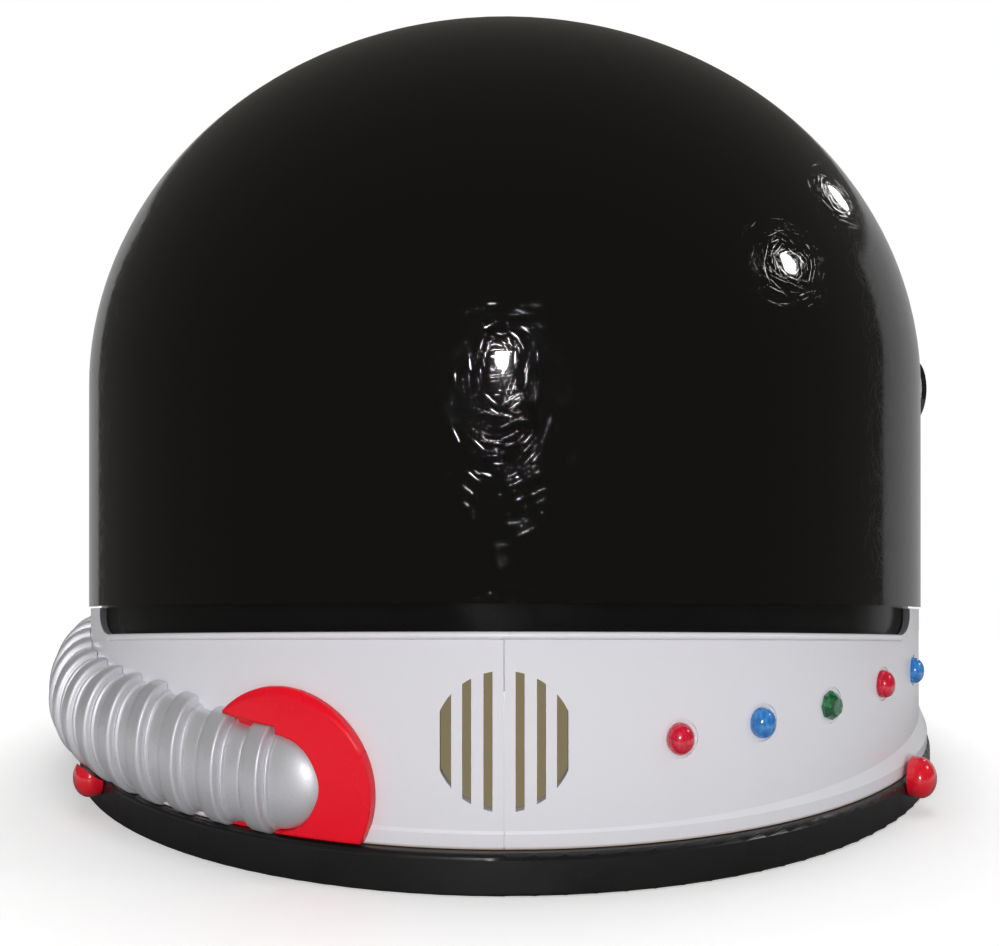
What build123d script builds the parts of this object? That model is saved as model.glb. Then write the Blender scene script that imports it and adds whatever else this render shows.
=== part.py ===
from build123d import *
import os
from math import asin, cos, degrees, radians, sin, sqrt, tan

# Astronaut helmet: a white two-part shell under a swinging smoked visor, a black neck rim,
# a ribbed hose relief round the left side and coloured studs.
# Millimetres, +Z up, front of the helmet towards -Y, wearer's left seen on the viewer's right (+X).
# The origin is the centre of the neck rim's foot. Angles run round +Z from the front, + towards +X.

# Fits and overruns
SEAT_GAP = 0.15           # fixed pieces laid on curved faces
RUN_GAP = 0.3             # faces that move past each other
BORE_GAP = 0.05           # radial clearance of a pin in its hole
OVERRUN = 20.0            # how far a cutter runs past what it cuts

# Visor
VISOR_R = 137.5
VISOR_WALL = 2.2
VISOR_APEX_Z = 238.0
VISOR_EQUATOR_Z = 116.0
VISOR_EDGE_FRONT_Z = 62.0
VISOR_EDGE_TILT = 8.7
VISOR_CORNER_Y = -46.0
VISOR_CORNER_ROUND = 8.0
VISOR_REAR_Y = 14.0
VISOR_LOBE_R = 17.0
VISOR_LOBE_NECK = 13.0    # half width of the arm where it meets the lobe

# Pivot on each side of the helmet
PIVOT_Z = 119.5
PIVOT_BOLT_R = 3.0
PIVOT_HEAD_R = 5.5
PIVOT_HEAD_L = 3.0
SHELL_BOSS_R = 10.0
SHELL_BOSS_DEPTH = 5.0
SHELL_BOSS_PROUD = 0.4
VISOR_BOSS_R = 11.0
VISOR_BOSS_PROUD = 0.5
WASHER_R = 9.5
WASHER_T = 0.8
WASHER_GAP = 0.1
BUSH_R = 5.0
BUSH_FLANGE_R = 7.5
BUSH_FLANGE = 0.8

# Shell
WALL = 2.5
VISOR_GAP = 1.3           # visor to shell at the sides
CROWN_GAP = 1.8           # visor to shell over the crown
SKIRT_Z = 50.0
SKIRT_STEPS = 4
SEAM_GAP = 0.3
COLLAR_R = 137.0
LEDGE_GAP = 0.6           # visor edge above the collar's ledge
LEDGE_BREAK_Y = 0.0       # behind this the ledge runs level
FACE_ANGLE = 55.5         # face opening at the sill, each way from the front
FACE_CORNER_ROUND = 6.0
FACE_SHOULDER_Z = 120.0
FACE_BROW_Z = 190.0
SILL_FRONT_Z = 55.8
SILL_TILT = 10.5

# Flare at the collar's foot
FLARE_HALF_WIDTH = 140.0
FLARE_FRONT = 137.3
FLARE_REAR = 140.0
FLARE_STRAIGHT = 3.2
FLARE_RISE = 17.0
FLARE_TOP_HALF_WIDTH = 134.1
FLARE_TOP_FRONT = 128.8
FLARE_TOP_REAR = 137.0

# Neck rim
RIM_R = 140.0
RIM_H = 9.0
RIM_BORE_R = 128.5
RIM_GROOVE_DEPTH = 4.2
RIM_FOOT_ROUND = 0.8      # outer corners only, the bore's ends stay sharp
RIM_TOP_ROUND = 1.2
RIM_SCREWS = 6
RIM_SCREW_R = 1.3
RIM_SCREW_HEAD_R = 2.0
RIM_SCREW_HEAD_L = 1.6
RIM_SCREW_BITE = 2.0      # how far the screw enters the collar's foot
RIM_SCREW_Z = 6.8

# Chin strip behind the sill
CHIN_WALL = 2.0
CHIN_ANGLE = 62.0
CHIN_FRONT_TOP_Z = 69.0
CHIN_BELOW_SILL = 6.2
CHIN_SCREW_R = 1.1
CHIN_SCREW_HEAD_R = 2.2
CHIN_SCREW_HEAD_L = 1.2
CHIN_SCREW_BITE = 1.6
CHIN_SCREW_ANGLES = (-45.0, -15.0, 15.0, 45.0)
CHIN_SCREW_DROP = 3.2     # below the sill

# Vent grille
GRILLE_Z = 32.2
GRILLE_R = 15.3
SLOT_W = 1.95
SLOT_OUTER_W = 2.5        # the outermost slot on each side
SLOT_FIRST = 3.45
SLOT_PITCH = 4.6
SLOTS_PER_SIDE = 3

# Gems
GEM_R = 3.55
GEM_WIDTH_SHARE = 0.89    # the stones are a little taller than wide
GEM_DOME = 2.6
GEM_CROWN = 1.7           # height of the cut stone's sloping facets
GEM_BASE = 0.7
GEM_STEM_R = 1.9
GEM_STEM_PAST = 1.6       # stem past the collar's inner face
GEM_HALO_R = 4.4
GEM_HALO_DEPTH = 0.5
GEM_FACETS = 8
GEM_TABLE_R = 2.1
GEM_NUT_R = 3.0
GEM_NUT_L = 1.0
GEMS = (
    ("gem_red_front", 16.5, 31.3, False),
    ("gem_blue_front", 25.6, 32.8, False),
    ("gem_green", 35.2, 33.9, True),
    ("gem_red_side", 45.8, 35.4, False),
    ("gem_blue_side", 57.5, 34.3, False),
)

# Rim studs
STUD_R = 5.35
STUD_SIDE = 2.0
STUD_DOME = 4.0
STUD_PEG_R = 1.2
STUD_PEG_L = 2.2
STUD_PEG_DROP = 3.4       # peg below the stud's centre
STUD_ANGLE = 51.0
STUD_Z = 9.2
STUD_HOSE_GAP = 0.9       # room between the left stud and the ribs that pass over it

# Hose relief on the right of the wearer, shallow at its ends and full along the side
HOSE_END_ANGLE = 21.5
HOSE_FIRST_RIB = 23.2
HOSE_RIBS = 28
HOSE_RIB_RISE = 1.9
HOSE_LIFT_SHARE = 0.25    # of the rise, how far a rib stands higher above than below
HOSE_RIDGE_SHARE = 0.44
HOSE_STEP_SHARE = 0.10
HOSE_STEP_RISE_SHARE = 0.35
HOSE_WALL = 2.0
HOSE_END_DEPTH = 5.2
HOSE_FULL_DEPTH = 9.45
HOSE_DEPTH_RUN = 42.0     # degrees over which the depth grows
HOSE_END_HALF = 10.7
HOSE_FULL_HALF = 13.25
HOSE_HALF_RUN = 18.0      # degrees over which the height grows
HOSE_SIDE_HALF = 15.2     # along the side of the helmet
HOSE_SIDE_START = 30.0    # degrees past the end where it grows again
HOSE_SIDE_RUN = 24.0
HOSE_FOOT_Z = 8.7
HOSE_FOOT_LIFT = 0.4
HOSE_LIFT_RUN = 40.0

# Red ring plates at the hose ends
RING_R = 22.55
RING_ANGLE = 21.25
RING_Z = 19.5
RING_PROUD = 2.4
RING_EDGE = 1.5
RING_FOOT_GAP = 0.7

# Adjuster knob and the low cap opposite
KNOB_R = 12.0
KNOB_TOP_R = 11.2
KNOB_L = 6.75
KNOB_BEVEL = 1.2
KNOB_SKIN = 2.0
KNOB_INSERT_R = 6.0
KNOB_INSERT_L = 4.0
KNOB_CAP_L = 2.2
KNOB_CAP_CROWN = 0.5
PIVOT_CAP_R = 11.0
PIVOT_CAP_L = 7.0
PIVOT_CAP_CROWN = 2.0

# Seam joints inside
STRAP_HALF_WIDTH = 9.0
STRAP_T = 2.0
STRAP_START = 42.0        # degrees over the crown from the front
STRAP_END = 174.0
STRAP_SCREW_ANGLES = (58.0, 92.0, 126.0, 160.0)
SEAM_SCREW_R = 1.1
SEAM_SCREW_HEAD_R = 2.2
SEAM_SCREW_HEAD_L = 1.2
SEAM_SCREW_BITE = 1.6
SEAM_SCREW_OFF = 5.5      # from the seam
PLATE_FOOT_Z = 15.0
PLATE_TOP_Z = 35.0
PLATE_SCREW_INSET = 5.0

# Comfort pads
PAD_T = 12.0
PAD_CROWN = 4.0
PAD_ROUND = 5.0
PAD_R = 38.0
SIDE_PAD_R = 30.0
REAR_PAD_Z = 150.0
SIDE_PAD_Z = 160.0

# Worked out from the above
REACH = RIM_R + OVERRUN
SHELL_R = VISOR_R - VISOR_WALL - VISOR_GAP
SHELL_DEPTH = VISOR_APEX_Z - VISOR_WALL - CROWN_GAP - PIVOT_Z
COLLAR_BORE_R = COLLAR_R - WALL
LEDGE_FRONT_Z = VISOR_EDGE_FRONT_Z - LEDGE_GAP
BAND_FOOT_Z = RIM_H - RIM_GROOVE_DEPTH + SEAT_GAP
HOSE_BACK_R = COLLAR_R + SEAT_GAP
SHELL_BOSS_X = SHELL_R + SHELL_BOSS_PROUD
VISOR_BOSS_X = SHELL_BOSS_X + WASHER_GAP * 2 + WASHER_T
VISOR_FACE_X = VISOR_R + VISOR_BOSS_PROUD
BUSH_FACE_X = VISOR_FACE_X + BORE_GAP + BUSH_FLANGE
KNOB_X = BUSH_FACE_X + RUN_GAP
KNOB_END_X = KNOB_X + KNOB_L
CHIN_R = COLLAR_BORE_R - SEAT_GAP
RIM_SCREW_SPREAD = 360.0 / RIM_SCREWS
RIM_SCREW_SEAT_R = RIM_BORE_R + RIM_SCREW_HEAD_L + SEAT_GAP
HOSE_LAST_RIB = 180.0 - HOSE_FIRST_RIB
HOSE_PITCH = (HOSE_LAST_RIB - HOSE_FIRST_RIB) / (HOSE_RIBS - 1)


def tilted_z(front_z, tilt, y):
    """Height of a plane that falls towards the rear, at depth y; front_z is at the collar's front."""
    return front_z - (y + COLLAR_R) * tan(radians(tilt))


def around(radius, angle, height):
    """Point at an angle round the helmet."""
    return Vector(radius * sin(radians(angle)), -radius * cos(radians(angle)), height)


def facing(radius, angle, height):
    """Plane on the side of the helmet, local Z outwards and local Y up."""
    outwards = around(1, angle, 0)
    return Plane(origin=around(radius, angle, height), x_dir=(-outwards.Y, outwards.X, 0), z_dir=outwards)


def side_prism(points):
    """Solid right across the helmet from an outline of (y, z) points."""
    face = make_face(Polyline(*points, close=True))
    return extrude(Plane.YZ * face, REACH, both=True)


def below_plane(front_z, tilt, level_from=REACH):
    """All below a plane that falls towards the rear as far as level_from and is level behind."""
    level = tilted_z(front_z, tilt, level_from)
    outline = [(-REACH, -OVERRUN), (-REACH, tilted_z(front_z, tilt, -REACH)), (level_from, level)]
    if level_from < REACH:
        outline.append((REACH, level))
    return side_prism(outline + [(REACH, -OVERRUN)])


def upright(radius, foot, top):
    """Round bar on the helmet's axis from foot to top, its surface closing at the rear."""
    column = Cylinder(radius, top - foot, align=(Align.CENTER, Align.CENTER, Align.MIN))
    return Pos(0, 0, foot) * Rot(0, 0, 90) * column


def oval(half_width, reach):
    """Level ellipse whose outline closes at the rear."""
    return scale(Rot(0, 0, 90) * Circle(1), by=(half_width, reach, 1))


def bar(plane, radius, length, start=0.0):
    """Round bar along a plane's normal, from start over a length."""
    return plane * Pos(0, 0, start) * Cylinder(radius, length, align=(Align.CENTER, Align.CENTER, Align.MIN))


def pivot_plane(side):
    """Plane at the pivot axis, local Z outwards to the given side (+1 or -1)."""
    return Plane(origin=(0, 0, PIVOT_Z), x_dir=(0, side, 0), z_dir=(side, 0, 0))


def spun(face):
    """Body of revolution about +Z from a face in the plane of local X and Z, made as two half turns."""
    half = revolve(Plane.XZ * face, Axis.Z, 180)
    return half + Rot(0, 0, 180) * half


def turned(plane, points):
    """Body of revolution about a plane's normal from an outline of (radius, height) points."""
    face = make_face(Polyline(*points, close=True))
    return plane * spun(face)


def ease(share):
    """Smooth step from 0 to 1."""
    share = min(1, max(0, share))
    return share * share * (3 - 2 * share)


def dome(inset):
    """Closed shape of the shell, drawn in by inset: a barrel about the pivot axis on a round skirt."""
    half_width = SHELL_R - inset
    depth = SHELL_DEPTH - inset
    above = Pos(0, 0, REACH / 2) * Box(2 * REACH, 2 * REACH, REACH)
    upper = Pos(0, 0, PIVOT_Z) * (scale(Rot(0, 0, 90) * Sphere(1), by=(half_width, depth, depth)) & above)
    sections = []
    for step in range(SKIRT_STEPS + 1):
        share = step / SKIRT_STEPS
        reach = depth + (SHELL_R - SHELL_DEPTH) * ease(share)
        sections.append(Pos(0, 0, PIVOT_Z - (PIVOT_Z - SKIRT_Z) * share) * oval(half_width, reach))
    return upper + loft(sections) + upright(half_width, 0, SKIRT_Z)


def flare():
    """White flange at the collar's foot, nothing at the front and full at the sides and rear."""
    foot_z = RIM_H + SEAT_GAP
    foot = oval(FLARE_HALF_WIDTH, (FLARE_REAR + FLARE_FRONT) / 2)
    foot = Pos(0, (FLARE_REAR - FLARE_FRONT) / 2, foot_z) * foot
    top = oval(FLARE_TOP_HALF_WIDTH, (FLARE_TOP_REAR + FLARE_TOP_FRONT) / 2)
    top = Pos(0, (FLARE_TOP_REAR - FLARE_TOP_FRONT) / 2, foot_z + FLARE_STRAIGHT + FLARE_RISE) * top
    return extrude(foot, FLARE_STRAIGHT) + loft([Pos(0, 0, FLARE_STRAIGHT) * foot, top], ruled=True)


def face_opening():
    """Cutter for the face opening: straight sides under an elliptical brow, down to the tilted sill."""
    half = COLLAR_R * sin(radians(FACE_ANGLE))
    outline = Pos(0, FACE_SHOULDER_Z) * Ellipse(half, FACE_BROW_Z - FACE_SHOULDER_Z)
    outline += Pos(0, FACE_SHOULDER_Z / 2) * Rectangle(2 * half, FACE_SHOULDER_Z)
    cutter = extrude(Plane.XZ * outline, REACH) - below_plane(SILL_FRONT_Z, SILL_TILT)
    corners = cutter.edges().filter_by(Plane.YZ).sort_by(Axis.Z)[:2]
    return fillet(corners, FACE_CORNER_ROUND)


def grille():
    """Cutters for the vent slots, upright slots inside a round outline."""
    disc = bar(facing(0, 0, GRILLE_Z), GRILLE_R, REACH)
    slots = []
    for number in range(SLOTS_PER_SIDE):
        width = SLOT_OUTER_W if number == SLOTS_PER_SIDE - 1 else SLOT_W
        for side in (-1, 1):
            across = side * (SLOT_FIRST + number * SLOT_PITCH)
            slots.append(Pos(across, -REACH / 2, GRILLE_Z) * Box(width, REACH, 2 * GRILLE_R) & disc)
    return slots


def gem_places():
    return [(name, facing(COLLAR_R, angle, height), faceted) for name, angle, height, faceted in GEMS]


def chin_screw_planes():
    """Planes at the chin strip's inner face, local Z outwards."""
    planes = []
    for angle in CHIN_SCREW_ANGLES:
        height = tilted_z(SILL_FRONT_Z, SILL_TILT, around(COLLAR_R, angle, 0).Y) - CHIN_SCREW_DROP
        planes.append(facing(CHIN_R - CHIN_WALL, angle, height))
    return planes


def rim_screw_planes():
    """Planes under the sunk heads of the rim's screws, local Z outwards."""
    angles = [RIM_SCREW_SPREAD * (number + 1 / 2) for number in range(RIM_SCREWS)]
    return [facing(RIM_SCREW_SEAT_R, angle, RIM_SCREW_Z) for angle in angles]


def strap_inner_r():
    return strap_outer_r() - STRAP_T


def strap_outer_r():
    """Strap that clears the barrel's inner face over its whole width."""
    half_width = SHELL_R - WALL
    return (SHELL_DEPTH - WALL) * sqrt(1 - (STRAP_HALF_WIDTH / half_width) ** 2) - SEAT_GAP


def plate_inner_r():
    return COLLAR_BORE_R - SEAT_GAP - STRAP_T


def seam_screw_planes():
    """Planes at the inner faces of the crown strap and the rear plate, local Z outwards."""
    planes = []
    for angle in STRAP_SCREW_ANGLES:
        outwards = Vector(0, -cos(radians(angle)), sin(radians(angle)))
        centre = Vector(0, 0, PIVOT_Z) + outwards * strap_inner_r()
        for side in (-1, 1):
            planes.append(Plane(origin=centre + Vector(side * SEAM_SCREW_OFF, 0, 0), x_dir=(1, 0, 0),
                                z_dir=outwards))
    turn = degrees(asin(SEAM_SCREW_OFF / plate_inner_r()))
    for height in (PLATE_FOOT_Z + PLATE_SCREW_INSET, PLATE_TOP_Z - PLATE_SCREW_INSET):
        for side in (-1, 1):
            planes.append(facing(plate_inner_r(), 180 + side * turn, height))
    return planes


def screw(plane, shank_r, reach, head_r, head_l):
    """Pan screw whose head lies just inside the plane and whose shank runs out along it."""
    return bar(plane, shank_r, reach + BORE_GAP, -BORE_GAP) + bar(plane, head_r, head_l, -head_l - BORE_GAP)


def shell():
    """Both halves in one piece, with every opening and screw hole."""
    ledge = below_plane(LEDGE_FRONT_Z, VISOR_EDGE_TILT, LEDGE_BREAK_Y)
    outer = dome(0) + (upright(COLLAR_R, 0, PIVOT_Z) & ledge) + flare()
    inner = dome(WALL) + (upright(COLLAR_BORE_R, 0, PIVOT_Z) & Pos(0, 0, -WALL) * ledge)
    body = outer - inner - upright(RIM_R + OVERRUN, 0, RIM_H + SEAT_GAP)
    foot = upright(COLLAR_R, BAND_FOOT_Z, RIM_H + SEAT_GAP) - upright(COLLAR_BORE_R, 0, REACH)
    body += foot
    body -= face_opening()
    for side in (-1, 1):
        plane = pivot_plane(side)
        body += bar(plane, SHELL_BOSS_R, SHELL_BOSS_DEPTH, SHELL_BOSS_X - SHELL_BOSS_DEPTH)
        body -= bar(plane, PIVOT_BOLT_R + BORE_GAP, REACH)
    body -= grille()
    for _, plane, _ in gem_places():
        body -= bar(plane, GEM_STEM_R + BORE_GAP, 2 * OVERRUN, -OVERRUN)
        body -= bar(plane, GEM_HALO_R, OVERRUN, -GEM_HALO_DEPTH)
    for plane in chin_screw_planes():
        body -= bar(plane, CHIN_SCREW_R + BORE_GAP, CHIN_WALL + SEAT_GAP + CHIN_SCREW_BITE)
    for plane in seam_screw_planes():
        body -= bar(plane, SEAM_SCREW_R + BORE_GAP, STRAP_T + 3 * SEAT_GAP + SEAM_SCREW_BITE)
    for plane in rim_screw_planes():
        body -= bar(plane, RIM_SCREW_R + BORE_GAP, COLLAR_BORE_R - RIM_SCREW_SEAT_R + RIM_SCREW_BITE)
    return body


def half_of(body, side):
    """The half of the shell on one side of the seam."""
    keep = Pos(side * (REACH + SEAM_GAP) / 2, 0, 0) * Box(REACH, 2 * REACH, 4 * REACH)
    return body & keep


def neck_rim():
    """Black ring under the shell with a groove for the collar's foot."""
    outer_r = COLLAR_R + SEAT_GAP
    inner_r = COLLAR_BORE_R - SEAT_GAP
    floor_z = RIM_H - RIM_GROOVE_DEPTH
    outline = Polyline((RIM_BORE_R, 0), (RIM_R, 0), (RIM_R, RIM_H), (outer_r, RIM_H), (outer_r, floor_z),
                       (inner_r, floor_z), (inner_r, RIM_H), (RIM_BORE_R, RIM_H), close=True)
    face = make_face(outline)
    face = fillet(face.vertices().group_by(Axis.X)[-1].sort_by(Axis.Y)[0], RIM_FOOT_ROUND)
    face = fillet(face.vertices().group_by(Axis.X)[-1].sort_by(Axis.Y)[-1], RIM_TOP_ROUND)
    body = spun(face)
    for side in (-1, 1):
        peg = facing(RIM_R, side * STUD_ANGLE, STUD_Z - STUD_PEG_DROP)
        body -= bar(peg, STUD_PEG_R + BORE_GAP, STUD_PEG_L + 2 * SEAT_GAP, -STUD_PEG_L - SEAT_GAP)
    for plane in rim_screw_planes():
        body -= bar(plane, RIM_SCREW_R + BORE_GAP, COLLAR_BORE_R - RIM_BORE_R)
        body -= bar(plane, RIM_SCREW_HEAD_R + BORE_GAP, OVERRUN, -OVERRUN)
    return body


def chin_strip():
    """Glossy strip behind the sill that joins the two halves under the visor."""
    ring = upright(CHIN_R, 0, PIVOT_Z) - upright(CHIN_R - CHIN_WALL, 0, PIVOT_Z)
    ring &= below_plane(CHIN_FRONT_TOP_Z, SILL_TILT)
    ring -= below_plane(SILL_FRONT_Z - CHIN_BELOW_SILL, SILL_TILT)
    side_x = REACH * sin(radians(CHIN_ANGLE))
    side_y = -REACH * cos(radians(CHIN_ANGLE))
    wedge = make_face(Polyline((0, 0), (-side_x, side_y), (-side_x, -2 * REACH), (side_x, -2 * REACH),
                               (side_x, side_y), close=True))
    ring &= extrude(wedge, REACH)
    inside = COLLAR_R * sin(radians(FACE_ANGLE)) - SEAT_GAP
    middle = Box(2 * inside, 2 * REACH, 2 * REACH)
    ring &= middle + below_plane(LEDGE_FRONT_Z - WALL - SEAT_GAP, VISOR_EDGE_TILT)
    for plane in chin_screw_planes():
        ring -= bar(plane, CHIN_SCREW_R + BORE_GAP, 2 * OVERRUN, -OVERRUN)
    return ring


def visor():
    """Smoked dome, cut to its side outline, with a flat boss and a bush hole at each pivot."""
    shells = []
    for inset in (0, VISOR_WALL):
        radius = VISOR_R - inset
        rise = VISOR_APEX_Z - VISOR_EQUATOR_Z - inset
        quarter = make_face(EllipticalCenterArc((0, 0), radius, rise, 0, arc_size=90)
                            + Polyline((0, rise), (0, 0), (radius, 0)))
        cap = Pos(0, 0, VISOR_EQUATOR_Z) * spun(quarter)
        shells.append(cap + upright(radius, 0, VISOR_EQUATOR_Z))
    low_front = VISOR_EDGE_FRONT_Z
    outline = make_face(Polyline(
        (-REACH, tilted_z(low_front, VISOR_EDGE_TILT, -REACH)),
        (VISOR_CORNER_Y, tilted_z(low_front, VISOR_EDGE_TILT, VISOR_CORNER_Y)),
        (-VISOR_LOBE_NECK, PIVOT_Z), (VISOR_REAR_Y, PIVOT_Z + VISOR_LOBE_NECK),
        (VISOR_REAR_Y, 2 * REACH), (-REACH, 2 * REACH), close=True))
    corner = outline.vertices().sort_by(lambda point: abs(point.X - VISOR_CORNER_Y))[0]
    outline = fillet(corner, VISOR_CORNER_ROUND) + Pos(0, PIVOT_Z) * Circle(VISOR_LOBE_R)
    body = (shells[0] - shells[1]) & extrude(Plane.YZ * outline, REACH, both=True)
    for side in (-1, 1):
        plane = pivot_plane(side)
        body += bar(plane, VISOR_BOSS_R, VISOR_FACE_X - VISOR_BOSS_X, VISOR_BOSS_X)
        body -= bar(plane, VISOR_BOSS_R, VISOR_BOSS_X)
        body -= bar(plane, BUSH_R, REACH)
    return body


def bush(side):
    """Flanged bush pressed into the visor."""
    plane = pivot_plane(side)
    sleeve = bar(plane, BUSH_R - BORE_GAP, VISOR_FACE_X + BORE_GAP - VISOR_BOSS_X, VISOR_BOSS_X)
    flange = bar(plane, BUSH_FLANGE_R, BUSH_FLANGE, VISOR_FACE_X + BORE_GAP)
    return sleeve + flange - bar(plane, PIVOT_BOLT_R + BORE_GAP, REACH)


def washer(side):
    """Friction washer between shell and visor."""
    plane = pivot_plane(side)
    start = SHELL_BOSS_X + WASHER_GAP
    disc = bar(plane, WASHER_R, VISOR_BOSS_X - WASHER_GAP - start, start)
    return disc - bar(plane, PIVOT_BOLT_R + BORE_GAP, REACH)


def pivot_bolt(side, end_x):
    """Bolt from inside the shell, its round head against the boss."""
    plane = pivot_plane(side)
    seat = SHELL_BOSS_X - SHELL_BOSS_DEPTH
    head = bar(plane, PIVOT_HEAD_R, PIVOT_HEAD_L, seat - PIVOT_HEAD_L)
    return bar(plane, PIVOT_BOLT_R, end_x - seat, seat) + head


def pivot_cap():
    """Low round cap nut on the side without the knob."""
    plane = pivot_plane(-1)
    wall_x = KNOB_X + PIVOT_CAP_L - PIVOT_CAP_CROWN
    body = turned(plane, [(0, KNOB_X), (PIVOT_CAP_R, KNOB_X), (PIVOT_CAP_R, wall_x),
                          (PIVOT_CAP_R - PIVOT_CAP_CROWN, KNOB_X + PIVOT_CAP_L), (0, KNOB_X + PIVOT_CAP_L)])
    return body - bar(plane, PIVOT_BOLT_R + BORE_GAP, PIVOT_CAP_L - KNOB_SKIN, KNOB_X)


def knob():
    """Turning knob with a bevelled outer edge and a pocket for its threaded insert."""
    plane = pivot_plane(1)
    body = turned(plane, [(0, KNOB_X), (KNOB_R, KNOB_X), (KNOB_R, KNOB_END_X - KNOB_BEVEL),
                          (KNOB_TOP_R, KNOB_END_X), (0, KNOB_END_X)])
    body -= bar(plane, KNOB_INSERT_R + BORE_GAP, KNOB_INSERT_L + BORE_GAP, KNOB_X)
    return body - bar(plane, PIVOT_BOLT_R + BORE_GAP, KNOB_L - KNOB_SKIN, KNOB_X)


def knob_insert():
    plane = pivot_plane(1)
    return bar(plane, KNOB_INSERT_R, KNOB_INSERT_L, KNOB_X) - bar(plane, PIVOT_BOLT_R + BORE_GAP, REACH)


def knob_cap():
    """Black crowned disc on the knob's end."""
    start = KNOB_END_X
    rim_x = start + KNOB_CAP_L - KNOB_CAP_CROWN
    crown = make_face(Polyline((KNOB_TOP_R, rim_x), (KNOB_TOP_R, start), (0, start), (0, start + KNOB_CAP_L))
                      + ThreePointArc((0, start + KNOB_CAP_L),
                                      (KNOB_TOP_R / 2, rim_x + KNOB_CAP_CROWN * 3 / 4), (KNOB_TOP_R, rim_x)))
    return pivot_plane(1) * spun(crown)


def gem(plane, faceted):
    """Coloured stone on a stem: a dome, or a cut stone with a flat table."""
    seat = -GEM_HALO_DEPTH + SEAT_GAP
    if faceted:
        girdle = Pos(0, 0, GEM_BASE) * RegularPolygon(GEM_R, GEM_FACETS)
        table = Pos(0, 0, GEM_BASE + GEM_CROWN) * RegularPolygon(GEM_TABLE_R, GEM_FACETS)
        stone = extrude(RegularPolygon(GEM_R, GEM_FACETS), GEM_BASE) + loft([girdle, table], ruled=True)
    else:
        quarter = make_face(EllipticalCenterArc((0, GEM_BASE), GEM_R, GEM_DOME, 0, arc_size=90)
                            + Polyline((0, GEM_BASE + GEM_DOME), (0, 0), (GEM_R, 0), (GEM_R, GEM_BASE)))
        stone = spun(quarter)
    stem = WALL + GEM_STEM_PAST
    stone = scale(stone, by=(GEM_WIDTH_SHARE, 1, 1))
    return plane * Pos(0, 0, seat) * stone + bar(plane, GEM_STEM_R, stem + seat, -stem)


def gem_nuts():
    """Push-on nuts that hold the gem stems inside the collar."""
    nuts = []
    for _, plane, _ in gem_places():
        start = -WALL - SEAT_GAP - GEM_NUT_L
        nuts.append(bar(plane, GEM_NUT_R, GEM_NUT_L, start)
                    - bar(plane, GEM_STEM_R + BORE_GAP, 2 * OVERRUN, -OVERRUN))
    return nuts


def stud(side):
    """Round red stud on the rim."""
    plane = facing(RIM_R, side * STUD_ANGLE, STUD_Z)
    side_top = SEAT_GAP + STUD_SIDE
    end = side_top + STUD_DOME
    face = make_face(EllipticalCenterArc((0, side_top), STUD_R, STUD_DOME, 0, arc_size=90)
                     + Polyline((0, end), (0, SEAT_GAP), (STUD_R, SEAT_GAP), (STUD_R, side_top)))
    peg = facing(RIM_R, side * STUD_ANGLE, STUD_Z - STUD_PEG_DROP)
    return plane * spun(face) + bar(peg, STUD_PEG_R, STUD_PEG_L + SEAT_GAP, -STUD_PEG_L)


def hose_size(angle):
    """Valley depth, valley half height and centre height of the hose at an angle from the front."""
    travel = min(angle, 180 - angle) - HOSE_END_ANGLE
    depth = HOSE_END_DEPTH + (HOSE_FULL_DEPTH - HOSE_END_DEPTH) * ease(travel / HOSE_DEPTH_RUN)
    half = HOSE_END_HALF + (HOSE_FULL_HALF - HOSE_END_HALF) * ease(travel / HOSE_HALF_RUN)
    half += (HOSE_SIDE_HALF - HOSE_FULL_HALF) * ease((travel - HOSE_SIDE_START) / HOSE_SIDE_RUN)
    foot = HOSE_FOOT_Z + HOSE_FOOT_LIFT * ease(travel / HOSE_LIFT_RUN)
    return depth, half, foot + HOSE_RIB_RISE * (1 - HOSE_LIFT_SHARE) + half


def hose_plane(angle):
    """Cross-section plane of the hose: local X up, local Y outwards."""
    tangent = Vector(cos(radians(angle)), -sin(radians(angle)), 0)
    return Plane(origin=around(HOSE_BACK_R, -angle, hose_size(angle)[2]), x_dir=(0, 0, 1), z_dir=tangent)


def hose_section(angle, rise):
    """Open-backed half-round outline, raised by rise above the valleys."""
    depth, half, _ = hose_size(angle)
    outer_h, outer_d = half + rise, depth + rise
    inner_h, inner_d = half - HOSE_WALL, depth - HOSE_WALL
    lift = rise * HOSE_LIFT_SHARE
    outline = EllipticalCenterArc((lift, 0), outer_h, outer_d, 0, arc_size=180)
    outline += Line((lift - outer_h, 0), (-inner_h, 0))
    outline += EllipticalCenterArc((0, 0), inner_h, inner_d, 0, arc_size=180)
    outline += Line((inner_h, 0), (lift + outer_h, 0))
    return hose_plane(angle) * make_face(outline)


def hose_rib_stations():
    """Angle and rise of every outline along the hose."""
    stations = [(HOSE_END_ANGLE, 0)]
    ridge = HOSE_PITCH * HOSE_RIDGE_SHARE
    for number in range(HOSE_RIBS):
        start = HOSE_FIRST_RIB + number * HOSE_PITCH - ridge / 2
        stations.append((start - HOSE_PITCH * HOSE_STEP_SHARE, 0))
        stations.append((start, HOSE_RIB_RISE * HOSE_STEP_RISE_SHARE))
        stations += [(start + ridge * part / 4, HOSE_RIB_RISE) for part in (1, 3)]
        stations.append((start + ridge, 0))
    return stations + [(180 - HOSE_END_ANGLE, 0)]


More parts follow.
